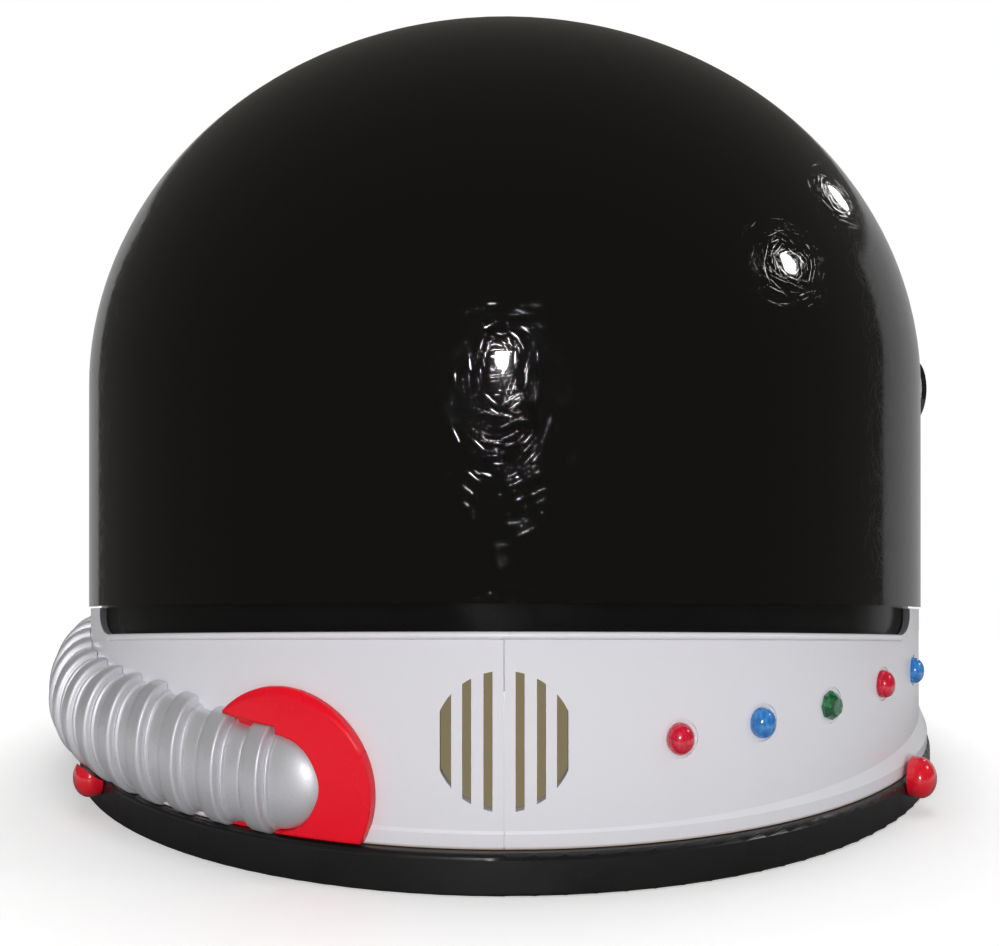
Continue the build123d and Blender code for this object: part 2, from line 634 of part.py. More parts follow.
def hose_envelope(gap):
    """Smooth closed body round the ribs, wider by gap."""
    sections = []
    steps = HOSE_RIBS // 2
    for step in range(steps + 1):
        angle = HOSE_END_ANGLE + (180 - 2 * HOSE_END_ANGLE) * step / steps
        depth, half, _ = hose_size(angle)
        rise = HOSE_RIB_RISE + gap
        lift = HOSE_RIB_RISE * HOSE_LIFT_SHARE
        low, high = lift - half - rise, lift + half + rise
        outline = (EllipticalCenterArc((lift, 0), half + rise, depth + rise, 0, arc_size=180)
                   + Polyline((low, 0), (low, -OVERRUN), (high, -OVERRUN), (high, 0)))
        sections.append(hose_plane(angle) * make_face(outline))
    return loft(sections, ruled=True)


def hose():
    """Ribbed half-round relief, hollow and open at the back."""
    body = loft([hose_section(angle, rise) for angle, rise in hose_rib_stations()], ruled=True)
    return body - Pos(0, 0, -SEAT_GAP) * flare_clear()


def flare_clear():
    """The flare, grown by the seat gap."""
    grow = (FLARE_HALF_WIDTH + SEAT_GAP) / FLARE_HALF_WIDTH
    return scale(flare(), by=(grow, grow, 1)) + upright(RIM_R + SEAT_GAP, 0, RIM_H + 2 * SEAT_GAP)


def hose_cap(rear):
    """Rounded end of the hose."""
    angle = 180 - HOSE_END_ANGLE if rear else HOSE_END_ANGLE
    depth, half, height = hose_size(angle)
    plane = facing(HOSE_BACK_R, -angle, height)
    quarter = make_face(EllipticalCenterArc((0, 0), half, depth, 0, arc_size=90)
                        + Polyline((0, depth), (0, 0), (half, 0)))
    body = plane * spun(quarter)
    away = -1 if rear else 1
    body &= plane * Pos(away * REACH / 2, 0, 0) * Box(REACH, REACH, REACH)
    return body - Pos(0, 0, -SEAT_GAP) * flare_clear() - upright(COLLAR_R + SEAT_GAP, 0, PIVOT_Z)


def ring(rear):
    """Red plate with a sloping edge that the hose end stands in."""
    angle = 180 - RING_ANGLE if rear else RING_ANGLE
    plane = facing(0, -angle, RING_Z)
    face_r = HOSE_BACK_R + RING_PROUD
    body = bar(plane, RING_R, REACH) & (upright(face_r, 0, PIVOT_Z) - upright(HOSE_BACK_R, 0, PIVOT_Z))
    edge_r = RING_R - RING_EDGE
    slope = make_face(Polyline((0, 0), (RING_R + RING_EDGE, 0), (RING_R, face_r - RING_EDGE),
                               (edge_r, face_r), (edge_r, REACH), (0, REACH), close=True))
    body &= plane * spun(slope)
    body -= upright(REACH, 0, RIM_H + RING_FOOT_GAP)
    body -= Pos(0, 0, -SEAT_GAP) * flare_clear()
    cap_angle = 180 - HOSE_END_ANGLE if rear else HOSE_END_ANGLE
    _, half, height = hose_size(cap_angle)
    body -= bar(facing(0, -cap_angle, height), half + SEAT_GAP, REACH)
    return body - hose_envelope(SEAT_GAP)


def crown_strap():
    """Inner strap over the crown that joins the halves along the seam."""
    middle = (strap_inner_r() + strap_outer_r()) / 2
    section = Pos(0, middle) * Rectangle(2 * STRAP_HALF_WIDTH, STRAP_T)
    body = revolve(section, Axis.X, STRAP_END - STRAP_START)
    body = Pos(0, 0, PIVOT_Z) * Rot(180 - STRAP_END, 0, 0) * body
    for plane in seam_screw_planes():
        body -= bar(plane, SEAM_SCREW_R + BORE_GAP, OVERRUN, -OVERRUN / 2)
    return body


def rear_plate():
    """Inner plate over the seam at the rear of the collar."""
    body = upright(plate_inner_r() + STRAP_T, PLATE_FOOT_Z, PLATE_TOP_Z)
    body -= upright(plate_inner_r(), 0, PIVOT_Z)
    body &= Pos(0, -REACH / 2, 0) * Box(2 * STRAP_HALF_WIDTH, REACH, REACH)
    body = Rot(0, 0, 180) * body
    for plane in seam_screw_planes():
        body -= bar(plane, SEAM_SCREW_R + BORE_GAP, OVERRUN, -OVERRUN / 2)
    return body


def seam_screws():
    reach = STRAP_T + 2 * SEAT_GAP + SEAM_SCREW_BITE
    return [screw(plane, SEAM_SCREW_R, reach, SEAM_SCREW_HEAD_R, SEAM_SCREW_HEAD_L)
            for plane in seam_screw_planes()]


def chin_screws():
    reach = CHIN_WALL + CHIN_SCREW_BITE
    return [screw(plane, CHIN_SCREW_R, reach, CHIN_SCREW_HEAD_R, CHIN_SCREW_HEAD_L)
            for plane in chin_screw_planes()]


def rim_screws():
    reach = COLLAR_BORE_R - RIM_SCREW_SEAT_R + RIM_SCREW_BITE - SEAT_GAP
    return [screw(plane, RIM_SCREW_R, reach, RIM_SCREW_HEAD_R, RIM_SCREW_HEAD_L)
            for plane in rim_screw_planes()]


def pad(plane, radius, inset):
    """Soft round pad with a crowned face, its back on the dome drawn in by inset. Local Z outwards."""
    side = PAD_T - PAD_CROWN - PAD_ROUND
    face = make_face(
        Line((0, -PAD_T), (0, OVERRUN)) + Line((0, OVERRUN), (radius, OVERRUN))
        + Line((radius, OVERRUN), (radius, -side))
        + ThreePointArc((radius, -side),
                        (radius - PAD_ROUND * (1 - sqrt(1 / 2)), -side - PAD_ROUND * sqrt(1 / 2)),
                        (radius - PAD_ROUND, -side - PAD_ROUND))
        + ThreePointArc((radius - PAD_ROUND, -side - PAD_ROUND),
                        ((radius - PAD_ROUND) / 2, -PAD_T + PAD_CROWN / 4), (0, -PAD_T)))
    return plane * spun(face) & dome(inset)


def pads():
    """Comfort pads on the inside of the shell."""
    skin = WALL + 2 * SEAT_GAP
    over_strap = SHELL_DEPTH - strap_inner_r() + SEAM_SCREW_HEAD_L + 2 * SEAT_GAP
    crown = Plane(origin=(0, 0, PIVOT_Z + SHELL_DEPTH - over_strap), x_dir=(1, 0, 0), z_dir=(0, 0, 1))
    rise = REAR_PAD_Z - PIVOT_Z
    back = Vector(0, sqrt((SHELL_DEPTH - over_strap) ** 2 - rise ** 2), rise)
    rear = Plane(origin=Vector(0, 0, PIVOT_Z) + back, x_dir=(1, 0, 0), z_dir=back)
    found = {"crown_pad": pad(crown, PAD_R, over_strap), "rear_pad": pad(rear, PAD_R, over_strap)}
    lift = SIDE_PAD_Z - PIVOT_Z
    half_width, depth = SHELL_R - skin, SHELL_DEPTH - skin
    out = half_width * sqrt(1 - (lift / depth) ** 2)
    for name, side in (("side_pad_left", -1), ("side_pad_right", 1)):
        normal = Vector(side * out / half_width ** 2, 0, lift / depth ** 2)
        plane = Plane(origin=(side * out, 0, SIDE_PAD_Z), x_dir=(0, 1, 0), z_dir=normal)
        found[name] = pad(plane, SIDE_PAD_R, skin)
    return found


def build():
    """All pieces by node name."""
    whole = shell()
    pieces = {"shell_left": half_of(whole, -1), "shell_right": half_of(whole, 1)}
    pieces["neck_rim"] = neck_rim()
    pieces["chin_strip"] = chin_strip()
    pieces["visor"] = visor()
    for name, side in (("left", -1), ("right", 1)):
        pieces["visor_bush_" + name] = bush(side)
        pieces["friction_washer_" + name] = washer(side)
    pieces["pivot_bolt_left"] = pivot_bolt(-1, KNOB_X + PIVOT_CAP_L - KNOB_SKIN - BORE_GAP)
    pieces["pivot_bolt_right"] = pivot_bolt(1, KNOB_END_X - KNOB_SKIN - BORE_GAP)
    pieces["pivot_cap_left"] = pivot_cap()
    pieces["adjuster_knob"] = knob()
    pieces["knob_insert"] = knob_insert()
    pieces["knob_cap"] = knob_cap()
    for name, plane, faceted in gem_places():
        pieces[name] = gem(plane, faceted)
    pieces["gem_nuts"] = gem_nuts()
    pieces["stud_left"] = stud(-1) - hose_envelope(STUD_HOSE_GAP)
    pieces["stud_right"] = stud(1)
    pieces["hose"] = hose()
    pieces["hose_front_cap"] = hose_cap(False)
    pieces["hose_rear_cap"] = hose_cap(True)
    pieces["front_ring"] = ring(False)
    pieces["rear_ring"] = ring(True)
    pieces["crown_strap"] = crown_strap()
    pieces["rear_plate"] = rear_plate()
    pieces["seam_screws"] = seam_screws()
    pieces["chin_screws"] = chin_screws()
    pieces["rim_screws"] = rim_screws()
    pieces.update(pads())
    return pieces


os.makedirs("parts", exist_ok=True)
for name, piece in build().items():
    shape = Compound(children=list(piece)) if isinstance(piece, list) else piece
    export_step(shape, f"parts/{name}.step")
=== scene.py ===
from math import cos, radians, sin, tan
import bpy
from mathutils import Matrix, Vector


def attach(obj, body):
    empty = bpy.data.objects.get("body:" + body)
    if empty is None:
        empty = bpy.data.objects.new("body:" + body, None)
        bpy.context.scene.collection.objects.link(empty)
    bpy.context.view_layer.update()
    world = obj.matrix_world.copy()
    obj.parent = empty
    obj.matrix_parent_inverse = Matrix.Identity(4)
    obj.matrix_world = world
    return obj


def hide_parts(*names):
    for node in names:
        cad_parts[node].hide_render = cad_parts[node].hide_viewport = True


# Looks of a white astronaut helmet with a dark visor, a ribbed hose relief and coloured stones.
# Metres, +Z up, front towards -Y, the viewer's right is +X. Angles round the helmet start at the front.

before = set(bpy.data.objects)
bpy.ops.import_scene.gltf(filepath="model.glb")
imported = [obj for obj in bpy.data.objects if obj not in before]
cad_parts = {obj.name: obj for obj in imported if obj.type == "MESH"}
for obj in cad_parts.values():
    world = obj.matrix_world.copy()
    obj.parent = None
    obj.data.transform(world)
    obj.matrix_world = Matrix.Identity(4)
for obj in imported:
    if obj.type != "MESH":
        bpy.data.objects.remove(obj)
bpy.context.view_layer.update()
bpy.ops.object.select_all(action="DESELECT")

MM = 0.001
WELD = 0.01 * MM

# Sizes shared with the solids
COLLAR_R = 137.0 * MM
WALL = 2.5 * MM
FACE_HALF_WIDTH = 112.9 * MM
FACE_CORNER = 6.0 * MM
SILL_FRONT_Z = 55.8 * MM
SILL_TILT = 10.5
RING_R = 22.55 * MM
RING_ANGLE = 21.25
RING_Z = 19.5 * MM

HOSE_BACK_R = COLLAR_R + 0.15 * MM
HOSE_END_ANGLE = 21.5
HOSE_FIRST_RIB = 23.2
HOSE_RIBS = 28
HOSE_PITCH = (180 - 2 * HOSE_FIRST_RIB) / (HOSE_RIBS - 1)
HOSE_RIB_RISE = 1.9 * MM
HOSE_LIFT_SHARE = 0.25
HOSE_END_DEPTH = 5.2 * MM
HOSE_FULL_DEPTH = 9.45 * MM
HOSE_DEPTH_RUN = 42.0
HOSE_END_HALF = 10.7 * MM
HOSE_FULL_HALF = 13.25 * MM
HOSE_HALF_RUN = 18.0
HOSE_SIDE_HALF = 15.2 * MM
HOSE_SIDE_START = 30.0
HOSE_SIDE_RUN = 24.0
HOSE_FOOT_Z = 8.7 * MM
HOSE_FOOT_LIFT = 0.4 * MM
HOSE_LIFT_RUN = 40.0

# One rib from the side, in degrees from its middle and shares of its rise: a thin bead, the ridge, a groove
RIB_OUTLINE = (
    (-1.76, 0.00), (-1.69, 0.20), (-1.59, 0.34), (-1.49, 0.34), (-1.39, 0.20), (-1.30, 0.00), (-1.22, 0.12),
    (-1.15, 0.50), (-1.08, 0.82), (-0.96, 0.98), (-0.80, 1.00), (-0.50, 0.97), (0.30, 0.93), (0.80, 0.90),
    (1.00, 0.78), (1.10, 0.48), (1.16, 0.05), (1.24, -0.20), (1.38, -0.22), (1.60, -0.06), (1.80, 0.00),
)

# Fine detail that the solids leave out
LIP_R = 0.85 * MM
LIP_INSET = 0.05 * MM
LIP_DROP = 0.75 * MM
SEAM_LOW_Z = 8.0 * MM
SEAM_STEP_Z = 43.0 * MM
SEAM_TOP_Z = 54.8 * MM
SEAM_FLUSH_DEPTH = 0.08 * MM
SEAM_SUNK_DEPTH = 1.2 * MM
SEAM_WIDTH = 0.3 * MM
SEAM_THICKNESS = 1.6 * MM
SEAM_EDGE = 0.04 * MM
CAP_STRETCH = 1.12
PAD_SHRINK = 1.0 * MM
PAD_VOXEL = 4.0 * MM
PAD_PRESSURE = 4
PAD_PUFF = 1.0 * MM
PAD_STEPS = 20

# Where the collar's paint changes
MIDDLE_Z = 80.0 * MM       # the shell's inner faces look towards this height on the axis
FACING_BLUR = 5.0 * MM
BARE_DEPTH = 0.05 * MM     # cut edges turn white between these depths from the inner face
PAINTED_DEPTH = 0.2 * MM
FOOT_BAND_TOP_Z = 9.0 * MM
FOOT_BAND_FADE = 0.7 * MM
RED_INSET = 1.0 * MM       # the red under the ring ends this far inside the ring's edge
RED_BLUR = 0.1 * MM

# Scratches on the visor: the part of the noise that makes them, and how it is stretched along each direction
SCRATCH_DIRECTIONS = 8
SCRATCH_FIRST_ANGLE = 4.0
SCRATCH_RANGE = (0.71, 0.80)
SCRATCH_STRETCH = (110, 110, 3400)
SCRATCH_DEPTH = 0.006 * MM

# The stage
CAMERA_PLACE = (0, -337.4 * MM, 90 * MM)
CAMERA_TURN = 0.25
LENS = 33.55
SENSOR = 36
TABLE_R = 310 * MM
TABLE_THICKNESS = 20 * MM
NECK_SHADE_FADE = 10 * MM         # painted shade: the tan under the neck opening fades out over this width inside the collar
NEAR_R = 150 * MM          # painted shade: the table's colour for all but camera rays brightens between these distances from the helmet's axis
BOUNCE_R = 210 * MM
GLOW_R = 300 * MM
BACKDROP_TURN = 10.5
BACKDROP_SIDE = (0.53, 0.57)    # cosines of the angle from its middle between which its sides fade
BACKDROP_TOP = (0.42, 0.38)     # sines of the height between which its top fades


# Finishes

def put(material, socket, value):
    """Joins an output to a socket, or sets a number, place or colour on it."""
    if isinstance(value, bpy.types.NodeSocket):
        material.node_tree.links.new(value, socket)
    elif socket.type == "RGBA":
        socket.default_value = (*value, 1)
    else:
        socket.default_value = value


def feed(material, name, value):
    """Joins an output to one of the shader's sockets, or sets its value."""
    put(material, material.node_tree.nodes["Principled BSDF"].inputs[name], value)


def finish(name, colour, roughness, **sockets):
    """Material whose even values stand on the shader's own sockets."""
    material = bpy.data.materials.new(name)
    material.use_nodes = True
    feed(material, "Base Color", colour)
    feed(material, "Roughness", roughness)
    for socket, value in sockets.items():
        feed(material, socket.replace("_", " "), value)
    return material


def node(material, kind, **values):
    """New node of a material or world, with its settings and its inputs given by name."""
    made = material.node_tree.nodes.new(kind)
    for name, value in values.items():
        if hasattr(made, name):
            setattr(made, name, value)
        else:
            put(material, made.inputs[name.replace("_", " ")], value)
    return made


def combined(material, kind, operation, *values):
    """What a Math or VectorMath node makes of its values."""
    made = node(material, "ShaderNode" + kind, operation=operation)
    for socket, value in zip(made.inputs, values):
        put(material, socket, value)
    gives_vector = kind == "VectorMath" and operation in ("SUBTRACT", "MULTIPLY")
    return made.outputs["Vector" if gives_vector else "Value"]


def blend_colours(material, share, first, second):
    """Mix of two colours or colour outputs."""
    mix = node(material, "ShaderNodeMix", data_type="RGBA")
    for socket, value in ((0, share), (6, first), (7, second)):
        put(material, mix.inputs[socket], value)
    return mix.outputs[2]


def spread(material, value, low, high, start=0.35, end=0.65, curve="LINEAR"):
    """A pattern's middle range laid out between two numbers."""
    return node(material, "ShaderNodeMapRange", interpolation_type=curve, Value=value, From_Min=start,
                From_Max=end, To_Min=low, To_Max=high).outputs["Result"]


def place(material, scale=(1, 1, 1), turned=(0, 0, 0)):
    """Object coordinates, turned first and then stretched."""
    coordinates = node(material, "ShaderNodeTexCoord").outputs["Object"]
    along = node(material, "ShaderNodeMapping", Vector=coordinates, Rotation=turned).outputs["Vector"]
    return node(material, "ShaderNodeMapping", Vector=along, Scale=scale).outputs["Vector"]


def noise(material, scale, detail=2.0, stretch=(1, 1, 1), turned=(0, 0, 0)):
    return node(material, "ShaderNodeTexNoise", Vector=place(material, stretch, turned), Scale=scale,
                Detail=detail).outputs["Fac"]


def cells(material, scale, stretch=(1, 1, 1)):
    return node(material, "ShaderNodeTexVoronoi", Vector=place(material, stretch),
                Scale=scale).outputs["Distance"]


def relief(material, height, depth, edge=0):
    """Fine surface relief, depth in metres, with sharp edges shaded as if rounded off by edge."""
    bump = node(material, "ShaderNodeBump", Height=height, Distance=depth)
    if edge:
        rounded = node(material, "ShaderNodeBevel", Radius=edge).outputs["Normal"]
        put(material, bump.inputs["Normal"], rounded)
    feed(material, "Normal", bump.outputs["Normal"])


def worn(material, low, high, scale=60.0):
    """Uneven gloss."""
    feed(material, "Roughness", spread(material, noise(material, scale, 4.0), low, high))


def white_paint():
    """White paint outside with red under the front ring, tan bare plastic inside, a brown band along the
    foot.
    """
    white = finish("white_paint", (0.80, 0.79, 0.84), 0.30, Coat_Weight=0.15, Coat_Roughness=0.2)
    position = place(white)
    outwards = combined(white, "VectorMath", "SUBTRACT", position, (0, 0, MIDDLE_Z))
    normal = node(white, "ShaderNodeNewGeometry").outputs["Normal"]
    facing = combined(white, "VectorMath", "DOT_PRODUCT", outwards, normal)
    outer_face = spread(white, facing, 0, 1, -FACING_BLUR, FACING_BLUR)
    level = combined(white, "VectorMath", "MULTIPLY", position, (1, 1, 0))
    from_axis = combined(white, "VectorMath", "LENGTH", level)
    inner_r = COLLAR_R - WALL
    cut_face = spread(white, from_axis, 0, 1, inner_r + BARE_DEPTH, inner_r + PAINTED_DEPTH)
    painted = combined(white, "Math", "MAXIMUM", outer_face, cut_face)
    height = node(white, "ShaderNodeSeparateXYZ", Vector=position).outputs["Z"]
    # a brown band along the foot: the white turns brown below this height
    above_foot_band = spread(white, height, 0, 1, FOOT_BAND_TOP_Z, FOOT_BAND_TOP_Z + FOOT_BAND_FADE)
    mottled = blend_colours(white, noise(white, 12.0, 1.0), (0.79, 0.78, 0.83), (0.81, 0.80, 0.85))
    outer = blend_colours(white, above_foot_band, (0.36, 0.24, 0.13), mottled)
    ring_middle = (-COLLAR_R * sin(radians(RING_ANGLE)), -COLLAR_R * cos(radians(RING_ANGLE)), RING_Z)
    from_ring = combined(white, "VectorMath", "DISTANCE", position, ring_middle)
    red_r = RING_R - RED_INSET
    beyond_ring = spread(white, from_ring, 0, 1, red_r - RED_BLUR, red_r + RED_BLUR)
    outer = blend_colours(white, beyond_ring, (0.80, 0.006, 0.022), outer)
    feed(white, "Base Color", blend_colours(white, painted, (0.42, 0.35, 0.22), outer))
    worn(white, 0.29, 0.32, 18.0)
    relief(white, noise(white, 160.0, 1.0), 0.01 * MM)
    return white


def smoked():
    """Dark smoke plastic with fine wiping scratches in several directions."""
    dark = finish("dark_smoke", (0.0034, 0.0032, 0.0027), 0.035, Specular_IOR_Level=0.5)
    height = 0
    for number in range(SCRATCH_DIRECTIONS):
        angle = SCRATCH_FIRST_ANGLE + number * 180 / SCRATCH_DIRECTIONS
        streaks = noise(dark, 1.0, 0.0, SCRATCH_STRETCH, (0, radians(angle), 0))
        height = combined(dark, "Math", "ADD", spread(dark, streaks, 0, 1, *SCRATCH_RANGE), height)
    relief(dark, height, SCRATCH_DEPTH)
    return dark


def plain_gloss(name, colour, roughness, dent=0.06 * MM, scale=90.0, edge=0, **sockets):
    made = finish(name, colour, roughness, **sockets)
    worn(made, roughness * 0.8, roughness * 1.3)
    relief(made, noise(made, scale, 2.0), dent, edge)
    return made


def silver_paint():
    """Metallic paint with fine flakes."""
    silver = finish("silver_paint", (0.80, 0.80, 0.84), 0.46, Metallic=0.65)
    flakes = noise(silver, 2600.0, 1.0)
    feed(silver, "Base Color", blend_colours(silver, flakes, (0.74, 0.74, 0.78), (0.88, 0.88, 0.93)))
    worn(silver, 0.44, 0.50)
    relief(silver, flakes, 0.01 * MM)
    return silver


def stone(name, dark, light):
    """Clear coloured stone with painted reflections, light and dark cells for glints from inside, and
    painted shade towards its rim.
    """
    made = finish(name, light, 0.10, Transmission_Weight=0.2, IOR=1.5, Specular_IOR_Level=0.5,
                  Coat_Weight=1.0, Coat_Roughness=0.2, Coat_IOR=1.65)
    # painted reflections: light and dark cells stand in for glints from facets inside the stone
    pattern = spread(made, cells(made, 1100.0, (1, 1, 0.6)), 0, 0.8, 0.2, 0.7)
    # painted shade: the colour darkens towards the stone's rim as it turns edge-on
    edge_on = node(made, "ShaderNodeLayerWeight", Blend=0.35).outputs["Facing"]
    body = blend_colours(made, pattern, light, dark)
    feed(made, "Base Color", blend_colours(made, spread(made, edge_on, 0, 1, 0.4, 1.0), body, dark))
    return made


def turned_metal(name, colour, roughness):
    made = finish(name, colour, roughness, Metallic=1.0)
    worn(made, roughness * 0.7, roughness * 1.3, 300.0)
    relief(made, noise(made, 900.0, 2.0, (1, 1, 6)), 0.01 * MM)
    return made


def knit():
    """Soft pad cover."""
    cloth = finish("pad_cover", (0.045, 0.047, 0.052), 0.9, Sheen_Weight=0.4, Sheen_Roughness=0.5)
    loops = cells(cloth, 900.0)
    feed(cloth, "Base Color", blend_colours(cloth, loops, (0.075, 0.078, 0.085), (0.03, 0.03, 0.034)))
    relief(cloth, loops, 0.3 * MM)
    return cloth


def all_finishes():
    """The finish of every carried-over node, by the node's name."""
    white = white_paint()
    red = plain_gloss("red_gloss", (0.90, 0.005, 0.021), 0.22, edge=0.9 * MM, Specular_IOR_Level=0.35)
    stud = plain_gloss("stud_red", (0.80, 0.004, 0.022), 0.12, Coat_Weight=1.0, Coat_Roughness=0.18,
                       Coat_IOR=1.6)
    black = plain_gloss("black_gloss", (0.010, 0.010, 0.011), 0.14, Coat_Weight=0.3, Coat_Roughness=0.05)
    grey = plain_gloss("pale_plastic", (0.55, 0.55, 0.56), 0.4)
    rubber = plain_gloss("washer_rubber", (0.03, 0.03, 0.03), 0.7)
    silver = silver_paint()
    steel = turned_metal("plain_steel", (0.56, 0.57, 0.58), 0.32)
    aluminium = turned_metal("mill_aluminium", (0.72, 0.73, 0.75), 0.38)
    cover = knit()
    red_stone = stone("red_stone", (0.62, 0.001, 0.020), (0.95, 0.006, 0.060))
    blue_stone = stone("blue_stone", (0.02, 0.17, 0.58), (0.05, 0.38, 0.90))
    return {
        "shell_left": white, "shell_right": white,
        "neck_rim": plain_gloss("rim_black", (0.009, 0.009, 0.009), 0.30, 0.3 * MM, 45.0),
        "chin_strip": plain_gloss("strip_black", (0.005, 0.005, 0.005), 0.22, Specular_IOR_Level=0.25),
        "visor": smoked(),
        "knob_cap": black,
        "knob_insert": turned_metal("turned_brass", (0.70, 0.52, 0.25), 0.3),
        "visor_bush_left": grey, "visor_bush_right": grey, "pivot_cap_left": grey, "adjuster_knob": grey,
        "friction_washer_left": rubber, "friction_washer_right": rubber,
        "pivot_bolt_left": steel, "pivot_bolt_right": steel, "gem_nuts": steel,
        "seam_screws": steel, "chin_screws": steel, "rim_screws": steel,
        "crown_strap": aluminium, "rear_plate": aluminium,
        "hose": silver, "hose_front_cap": silver, "hose_rear_cap": silver,
        "front_ring": red, "rear_ring": red, "stud_left": stud, "stud_right": stud,
        "gem_red_front": red_stone, "gem_red_side": red_stone,
        "gem_blue_front": blue_stone, "gem_blue_side": blue_stone,
        "gem_green": stone("green_stone", (0.001, 0.030, 0.009), (0.005, 0.30, 0.09)),
        "crown_pad": cover, "rear_pad": cover, "side_pad_left": cover, "side_pad_right": cover,
    }


def dress_nodes(finishes):
    for name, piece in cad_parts.items():
        for slot in piece.material_slots:
            slot.material = finishes[name]


# Modelling

def started(name):
    """The primitive that was just added, named and open for editing with all of it selected."""
    piece = bpy.context.object
    piece.name = name
    piece.data.name = name
    bpy.ops.object.mode_set(mode="EDIT")
    bpy.ops.mesh.select_all(action="SELECT")
    return piece


def turn(degrees, axis="Z", centre=(0, 0, 0)):
    """Turns what is selected; with no window the tool turns the other way, which the minus makes good."""
    bpy.ops.transform.rotate(value=-radians(degrees), orient_axis=axis, center_override=centre)


def hang(piece, material, node_name=None):
    """Paints a finished mesh and lets it ride on the helmet, in the place of a node if one is named."""
    piece.data.materials.clear()
    piece.data.materials.append(material)
    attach(piece, "helmet")
    if node_name:
        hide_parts(node_name)
    bpy.ops.object.select_all(action="DESELECT")
    return piece


def done(piece, material, node_name=None, angle=35):
    """Welds, turns outwards, smooths and hangs a mesh that is open for editing."""
    bpy.ops.mesh.select_all(action="SELECT")
    bpy.ops.mesh.remove_doubles(threshold=WELD)
    bpy.ops.mesh.normals_make_consistent(inside=False)
    bpy.ops.object.mode_set(mode="OBJECT")
    bpy.ops.object.transform_apply(location=True, rotation=True, scale=True)
    bpy.ops.object.shade_smooth_by_angle(angle=radians(angle))
    return hang(piece, material, node_name)


def ease(share):
    """Smooth step from 0 to 1."""
    share = min(1, max(0, share))
    return share * share * (3 - 2 * share)


def hose_size(angle):
    """Valley depth, valley half height and centre height of the hose at an angle from the front."""
    travel = min(angle, 180 - angle) - HOSE_END_ANGLE
    depth = HOSE_END_DEPTH + (HOSE_FULL_DEPTH - HOSE_END_DEPTH) * ease(travel / HOSE_DEPTH_RUN)
    half = HOSE_END_HALF + (HOSE_FULL_HALF - HOSE_END_HALF) * ease(travel / HOSE_HALF_RUN)
    half += (HOSE_SIDE_HALF - HOSE_FULL_HALF) * ease((travel - HOSE_SIDE_START) / HOSE_SIDE_RUN)
    foot = HOSE_FOOT_Z + HOSE_FOOT_LIFT * ease(travel / HOSE_LIFT_RUN)
    return depth, half, foot + HOSE_RIB_RISE * (1 - HOSE_LIFT_SHARE) + half


def ribbed_hose(silver):
    """Half-round hose relief, drawn out section by section round the helmet, each rib with its bead."""
    stations = [(HOSE_END_ANGLE, 0)]
    for number in range(HOSE_RIBS):
        middle = HOSE_FIRST_RIB + number * HOSE_PITCH
        stations += [(middle + offset, share * HOSE_RIB_RISE) for offset, share in RIB_OUTLINE]
    stations.append((180 - HOSE_END_ANGLE, 0))
    start = (0, -HOSE_BACK_R, 0)
    bpy.ops.mesh.primitive_circle_add(vertices=56, radius=MM, fill_type="NGON", location=start,
                                      rotation=(0, radians(90), 0))
    piece = started("ribbed_hose")
    bpy.ops.mesh.bisect(plane_co=start, plane_no=(0, 1, 0), clear_outer=True)
    bpy.ops.mesh.select_all(action="SELECT")
    last_depth = last_half = MM
    last_height = last_angle = 0
    for number, (angle, rise) in enumerate(stations):
        depth, half, height = hose_size(angle)
        height += rise * HOSE_LIFT_SHARE
        if number:
            bpy.ops.mesh.extrude_region()
            turn(last_angle)
        bpy.ops.transform.translate(value=(0, 0, height - last_height))
        bpy.ops.transform.resize(value=(1, (depth + rise) / last_depth, (half + rise) / last_half),
                                 center_override=(0, -HOSE_BACK_R, height))
        turn(-angle)
        last_depth, last_half, last_height, last_angle = depth + rise, half + rise, height, angle
    return done(piece, silver, "hose", 50)


def collar_lip(white):
    """Thin rolled lip along the front edge of the sill, laid on the tilted cut."""
    drop = COLLAR_R * tan(radians(SILL_TILT))
    bpy.ops.mesh.primitive_torus_add(major_segments=240, minor_segments=12,
                                     major_radius=COLLAR_R - LIP_INSET, minor_radius=LIP_R)
    piece = started("collar_lip")
    bpy.ops.transform.resize(value=(1, 1 / cos(radians(SILL_TILT)), 1), center_override=(0, 0, 0))
    turn(-SILL_TILT, "X")
    bpy.ops.transform.translate(value=(0, 0, SILL_FRONT_Z - drop - LIP_DROP))
    for side in (-1, 1):
        bpy.ops.mesh.select_all(action="SELECT")
        bpy.ops.mesh.bisect(plane_co=(side * (FACE_HALF_WIDTH - FACE_CORNER), 0, 0), plane_no=(side, 0, 0),
                            use_fill=True, clear_outer=True)
    bpy.ops.mesh.select_all(action="SELECT")
    bpy.ops.mesh.bisect(plane_co=(0, 0, 0), plane_no=(0, 1, 0), use_fill=True, clear_outer=True)
    return done(piece, white)


def seam_filler(white, low, high, depth):
    """Paint that bridges the front seam between two heights, some way below the collar's face."""
    middle = (0, depth + SEAM_THICKNESS / 2 - COLLAR_R, (low + high) / 2)
    bpy.ops.mesh.primitive_cube_add(size=1, location=middle)
    piece = started("seam_filler")
    bpy.ops.transform.resize(value=(SEAM_WIDTH, SEAM_THICKNESS, high - low), center_override=middle)
    bpy.ops.mesh.bevel(offset=SEAM_EDGE, segments=2)
    return done(piece, white)


def copied(node_name, name):
    """Welded copy of a carried-over node's mesh, open for editing with all of it selected."""
    piece = bpy.data.objects.new(name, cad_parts[node_name].data.copy())
    bpy.context.collection.objects.link(piece)
    bpy.context.view_layer.objects.active = piece
    piece.select_set(True)
    bpy.ops.object.mode_set(mode="EDIT")
    bpy.ops.mesh.select_all(action="SELECT")
    bpy.ops.mesh.remove_doubles(threshold=WELD)
    bpy.ops.mesh.normals_make_consistent(inside=False)
    return piece


